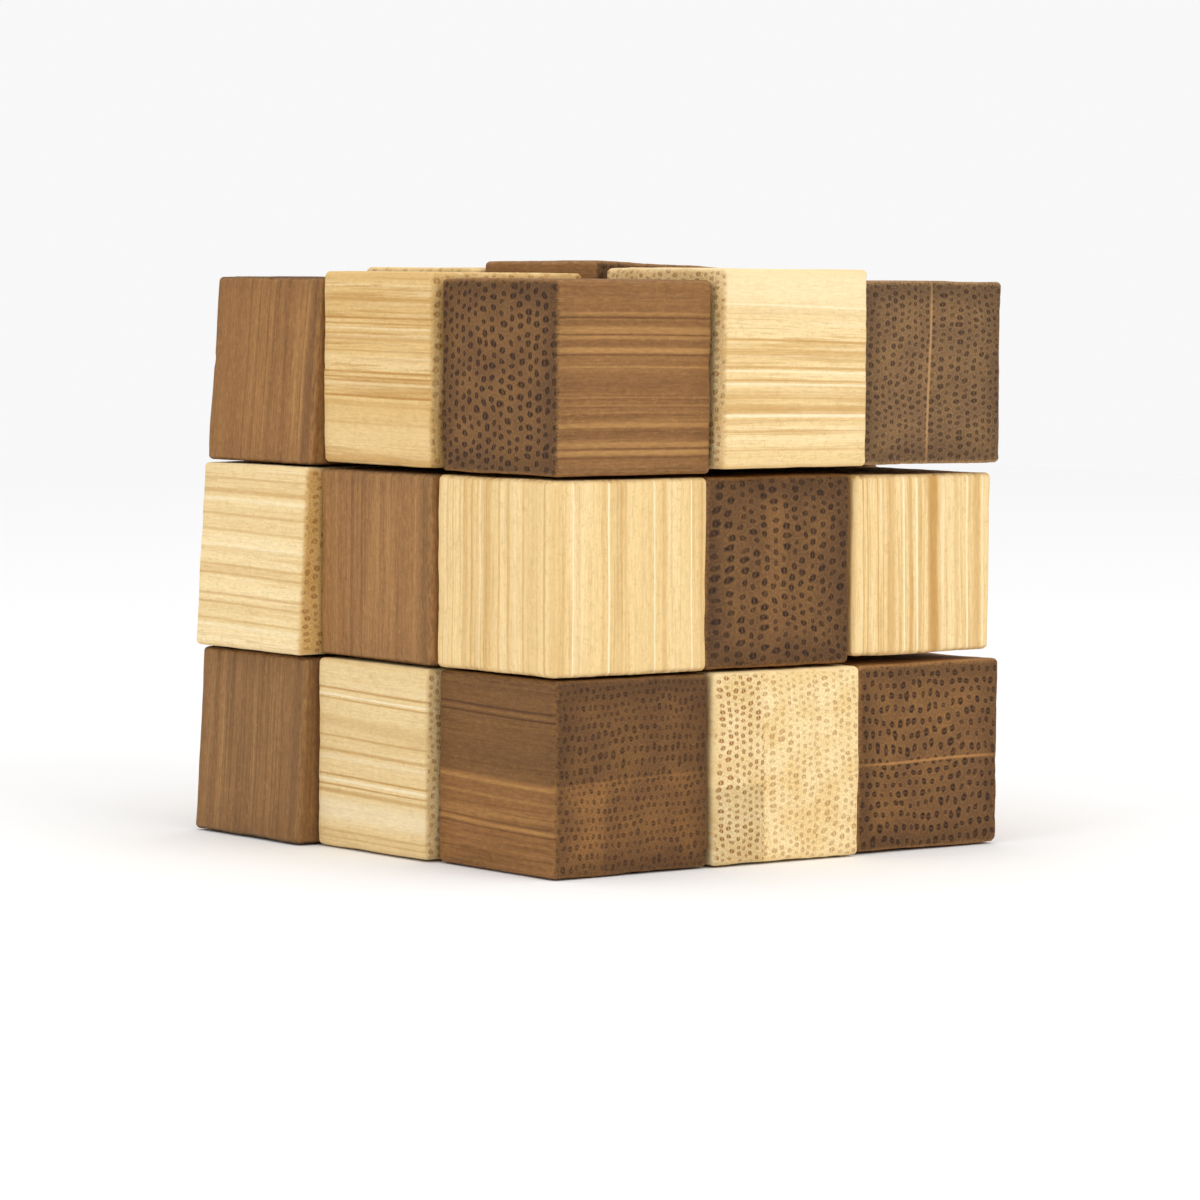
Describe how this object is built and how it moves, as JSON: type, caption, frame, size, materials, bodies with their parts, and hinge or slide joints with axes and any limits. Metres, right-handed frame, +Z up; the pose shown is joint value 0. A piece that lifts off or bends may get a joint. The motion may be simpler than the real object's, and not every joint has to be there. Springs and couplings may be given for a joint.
{
  "type": "bamboo snake cube puzzle",
  "caption": "Cube of small bamboo cubes, dark and light by turns, strung on an elastic cord that lets them twist, swing and pull apart.",
  "frame": {"origin": "centre of the cube's underside, on the flat underside of the bottom layer's centre cubelet", "axes": "+Z up; -Y is the front face and -X the left face of the closed cube; rows of the cord run along X"},
  "size_m": [0.0641, 0.0621, 0.0625],
  "materials": {
    "bamboo_dark": "carbonised bamboo strip, sanded, unvarnished, with soft worn edges",
    "bamboo_light": "natural bamboo strip, sanded, unvarnished, with soft worn edges",
    "elastic_cord": "braided elastic cord",
    "peg_wood": "small hardwood dowel, unfinished"
  },
  "bodies": {
    "cubelet_01": {"cubelet_01": "bamboo_dark", "start_peg": "peg_wood", "cord_link_01": "elastic_cord"},
    "cubelet_02": {"cubelet_02": "bamboo_light", "cord_link_02": "elastic_cord"},
    "cubelet_03": {"cubelet_03": "bamboo_dark"},
    "cubelet_04": {"cubelet_04": "bamboo_light", "cord_link_04": "elastic_cord"},
    "cubelet_05": {"cubelet_05": "bamboo_dark", "cord_link_05": "elastic_cord"},
    "cubelet_06": {"cubelet_06": "bamboo_light"},
    "cubelet_07": {"cubelet_07": "bamboo_dark", "cord_link_07": "elastic_cord"},
    "cubelet_08": {"cubelet_08": "bamboo_light", "cord_link_08": "elastic_cord"},
    "cubelet_09": {"cubelet_09": "bamboo_dark"},
    "cubelet_10": {"cubelet_10": "bamboo_light", "cord_link_10": "elastic_cord"},
    "cubelet_11": {"cubelet_11": "bamboo_dark", "cord_link_11": "elastic_cord"},
    "cubelet_12": {"cubelet_12": "bamboo_light"},
    "cubelet_13": {"cubelet_13": "bamboo_dark", "cord_link_13": "elastic_cord"},
    "cubelet_14": {"cubelet_14": "bamboo_light"},
    "cubelet_15": {"cubelet_15": "bamboo_dark", "cord_link_14": "elastic_cord"},
    "cubelet_16": {"cubelet_16": "bamboo_light"},
    "cubelet_17": {"cubelet_17": "bamboo_dark", "cord_link_16": "elastic_cord"},
    "cubelet_18": {"cubelet_18": "bamboo_light", "cord_link_17": "elastic_cord"},
    "cubelet_19": {"cubelet_19": "bamboo_dark"},
    "cubelet_20": {"cubelet_20": "bamboo_light", "cord_link_19": "elastic_cord"},
    "cubelet_21": {"cubelet_21": "bamboo_dark", "cord_link_20": "elastic_cord"},
    "cubelet_22": {"cubelet_22": "bamboo_light"},
    "cubelet_23": {"cubelet_23": "bamboo_dark", "cord_link_22": "elastic_cord"},
    "cubelet_24": {"cubelet_24": "bamboo_light", "cord_link_23": "elastic_cord"},
    "cubelet_25": {"cubelet_25": "bamboo_dark"},
    "cubelet_26": {"cubelet_26": "bamboo_light", "cord_link_25": "elastic_cord"},
    "cubelet_27": {"cubelet_27": "bamboo_dark", "end_peg": "peg_wood", "cord_link_26": "elastic_cord"},
    "link_12_cord": {"cord_link_12": "elastic_cord"},
    "link_15_cord": {"cord_link_15": "elastic_cord"},
    "link_09_swivel": {"cord_link_09_upper": "elastic_cord"},
    "link_09_stretching": {"cord_link_09": "elastic_cord"},
    "link_18_swivel": {"cord_link_18": "elastic_cord"},
    "link_18_stretching": {"cord_link_18_upper": "elastic_cord"},
    "link_06_cord": {"cord_link_06": "elastic_cord"},
    "link_21_cord": {"cord_link_21": "elastic_cord"},
    "link_03_cord": {"cord_link_03": "elastic_cord"},
    "link_24_cord": {"cord_link_24": "elastic_cord"}
  },
  "joints": [
    {"name": "pull_apart", "type": "slide", "parent": "cubelet_14", "child": "cubelet_13", "axis": [-1, 0, 0], "range_m": [0, 0.004]},
    {"name": "link_14_stretch", "type": "slide", "parent": "cubelet_14", "child": "cubelet_15", "axis": [1, 0, 0], "range_m": [0, 0.004]},
    {"name": "link_12_stretch", "type": "slide", "parent": "cubelet_13", "child": "link_12_cord", "axis": [0, 1, 0], "range_m": [0, 0.004]},
    {"name": "unfold", "type": "hinge", "parent": "link_12_cord", "child": "cubelet_12", "pos_m": [-0.022, 0.01015, 0.0303], "axis": [0, 1, 0], "range_deg": [0, 60]},
    {"name": "link_15_stretch", "type": "slide", "parent": "cubelet_15", "child": "link_15_cord", "axis": [0, -1, 0], "range_m": [0, 0.004]},
    {"name": "link_15_swing", "type": "hinge", "parent": "link_15_cord", "child": "cubelet_16", "pos_m": [0.0199, -0.01005, 0.0304], "axis": [0, 1, 0], "range_deg": [0, 60]},
    {"name": "link_11_stretch", "type": "slide", "parent": "cubelet_12", "child": "cubelet_11", "axis": [1, 0, 0], "range_m": [0, 0.004]},
    {"name": "link_16_stretch", "type": "slide", "parent": "cubelet_16", "child": "cubelet_17", "axis": [-1, 0, 0], "range_m": [0, 0.004]},
    {"name": "link_10_stretch", "type": "slide", "parent": "cubelet_11", "child": "cubelet_10", "axis": [1, 0, 0], "range_m": [0, 0.004]},
    {"name": "link_17_stretch", "type": "slide", "parent": "cubelet_17", "child": "cubelet_18", "axis": [-1, 0, 0], "range_m": [0, 0.004]},
    {"name": "bottom_layer_twist", "type": "hinge", "parent": "cubelet_10", "child": "link_09_swivel", "pos_m": [0.0181, 0.0203, 0.02015], "axis": [0, 0, -1], "continuous": true},
    {"name": "link_09_stretch", "type": "slide", "parent": "link_09_swivel", "child": "link_09_stretching", "axis": [0, 0, -1], "range_m": [0, 0.004], "deforming": ["cord_link_09_upper"]},
    {"name": "link_09_lift", "type": "slide", "parent": "link_09_stretching", "child": "cubelet_09", "axis": [0, 0, -1], "range_m": [0, 0.015], "deforming": ["cord_link_09"]},
    {"name": "top_layer_twist", "type": "hinge", "parent": "cubelet_18", "child": "link_18_swivel", "pos_m": [-0.02048, -0.0203, 0.04045], "axis": [0, 0, 1], "continuous": true},
    {"name": "link_18_stretch", "type": "slide", "parent": "link_18_swivel", "child": "link_18_stretching", "axis": [0, 0, 1], "range_m": [0, 0.004], "deforming": ["cord_link_18"]},
    {"name": "link_18_lift", "type": "slide", "parent": "link_18_stretching", "child": "cubelet_19", "axis": [0, 0, 1], "range_m": [0, 0.015], "deforming": ["cord_link_18_upper"]},
    {"name": "link_08_stretch", "type": "slide", "parent": "cubelet_09", "child": "cubelet_08", "axis": [-1, 0, 0], "range_m": [0, 0.004]},
    {"name": "link_19_stretch", "type": "slide", "parent": "cubelet_19", "child": "cubelet_20", "axis": [1, 0, 0], "range_m": [0, 0.004]},
    {"name": "link_07_stretch", "type": "slide", "parent": "cubelet_08", "child": "cubelet_07", "axis": [-1, 0, 0], "range_m": [0, 0.004]},
    {"name": "link_20_stretch", "type": "slide", "parent": "cubelet_20", "child": "cubelet_21", "axis": [1, 0, 0], "range_m": [0, 0.004]},
    {"name": "link_06_stretch", "type": "slide", "parent": "cubelet_07", "child": "link_06_cord", "axis": [0, -1, 0], "range_m": [0, 0.004]},
    {"name": "link_06_swing", "type": "hinge", "parent": "link_06_cord", "child": "cubelet_06", "pos_m": [-0.02225, 0.01015, 0.01], "axis": [0, 1, 0], "range_deg": [0, 45]},
    {"name": "link_21_stretch", "type": "slide", "parent": "cubelet_21", "child": "link_21_cord", "axis": [0, 1, 0], "range_m": [0, 0.004]},
    {"name": "link_21_swing", "type": "hinge", "parent": "link_21_cord", "child": "cubelet_22", "pos_m": [0.01985, -0.01015, 0.05075], "axis": [0, 1, 0], "range_deg": [0, 45]},
    {"name": "link_05_stretch", "type": "slide", "parent": "cubelet_06", "child": "cubelet_05", "axis": [1, 0, 0], "range_m": [0, 0.004]},
    {"name": "link_22_stretch", "type": "slide", "parent": "cubelet_22", "child": "cubelet_23", "axis": [-1, 0, 0], "range_m": [0, 0.004]},
    {"name": "link_04_stretch", "type": "slide", "parent": "cubelet_05", "child": "cubelet_04", "axis": [1, 0, 0], "range_m": [0, 0.004]},
    {"name": "link_23_stretch", "type": "slide", "parent": "cubelet_23", "child": "cubelet_24", "axis": [-1, 0, 0], "range_m": [0, 0.004]},
    {"name": "link_03_stretch", "type": "slide", "parent": "cubelet_04", "child": "link_03_cord", "axis": [0, -1, 0], "range_m": [0, 0.004]},
    {"name": "link_03_swing", "type": "hinge", "parent": "link_03_cord", "child": "cubelet_03", "pos_m": [0.01965, -0.01015, 0.01], "axis": [0, 1, 0], "range_deg": [-90, 0]},
    {"name": "link_24_stretch", "type": "slide", "parent": "cubelet_24", "child": "link_24_cord", "axis": [0, 1, 0], "range_m": [0, 0.004]},
    {"name": "link_24_swing", "type": "hinge", "parent": "link_24_cord", "child": "cubelet_25", "pos_m": [-0.0213, 0.01015, 0.05083], "axis": [0, 1, 0], "range_deg": [-90, 0]},
    {"name": "link_02_stretch", "type": "slide", "parent": "cubelet_03", "child": "cubelet_02", "axis": [-1, 0, 0], "range_m": [0, 0.004]},
    {"name": "link_25_stretch", "type": "slide", "parent": "cubelet_25", "child": "cubelet_26", "axis": [1, 0, 0], "range_m": [0, 0.004]},
    {"name": "link_01_stretch", "type": "slide", "parent": "cubelet_02", "child": "cubelet_01", "axis": [-1, 0, 0], "range_m": [0, 0.004]},
    {"name": "link_26_stretch", "type": "slide", "parent": "cubelet_26", "child": "cubelet_27", "axis": [1, 0, 0], "range_m": [0, 0.004]}
  ],
  "couplings": [
    {"joint": "link_14_stretch", "follows": "pull_apart", "ratio": 1},
    {"joint": "link_12_stretch", "follows": "pull_apart", "ratio": 1},
    {"joint": "link_15_stretch", "follows": "pull_apart", "ratio": 1},
    {"joint": "link_15_swing", "follows": "unfold", "ratio": 1},
    {"joint": "link_11_stretch", "follows": "pull_apart", "ratio": 1},
    {"joint": "link_16_stretch", "follows": "pull_apart", "ratio": 1},
    {"joint": "link_10_stretch", "follows": "pull_apart", "ratio": 1},
    {"joint": "link_17_stretch", "follows": "pull_apart", "ratio": 1},
    {"joint": "link_09_stretch", "follows": "pull_apart", "ratio": 1},
    {"joint": "link_09_lift", "follows": "unfold", "m_per_rad": 0.014323},
    {"joint": "link_18_stretch", "follows": "pull_apart", "ratio": 1},
    {"joint": "link_18_lift", "follows": "unfold", "m_per_rad": 0.014323},
    {"joint": "link_08_stretch", "follows": "pull_apart", "ratio": 1},
    {"joint": "link_19_stretch", "follows": "pull_apart", "ratio": 1},
    {"joint": "link_07_stretch", "follows": "pull_apart", "ratio": 1},
    {"joint": "link_20_stretch", "follows": "pull_apart", "ratio": 1},
    {"joint": "link_06_stretch", "follows": "pull_apart", "ratio": 1},
    {"joint": "link_06_swing", "follows": "unfold", "ratio": 0.75},
    {"joint": "link_21_stretch", "follows": "pull_apart", "ratio": 1},
    {"joint": "link_21_swing", "follows": "unfold", "ratio": 0.75},
    {"joint": "link_05_stretch", "follows": "pull_apart", "ratio": 1},
    {"joint": "link_22_stretch", "follows": "pull_apart", "ratio": 1},
    {"joint": "link_04_stretch", "follows": "pull_apart", "ratio": 1},
    {"joint": "link_23_stretch", "follows": "pull_apart", "ratio": 1},
    {"joint": "link_03_stretch", "follows": "pull_apart", "ratio": 1},
    {"joint": "link_03_swing", "follows": "unfold", "ratio": -1.5},
    {"joint": "link_24_stretch", "follows": "pull_apart", "ratio": 1},
    {"joint": "link_24_swing", "follows": "unfold", "ratio": -1.5},
    {"joint": "link_02_stretch", "follows": "pull_apart", "ratio": 1},
    {"joint": "link_25_stretch", "follows": "pull_apart", "ratio": 1},
    {"joint": "link_01_stretch", "follows": "pull_apart", "ratio": 1},
    {"joint": "link_26_stretch", "follows": "pull_apart", "ratio": 1}
  ]
}
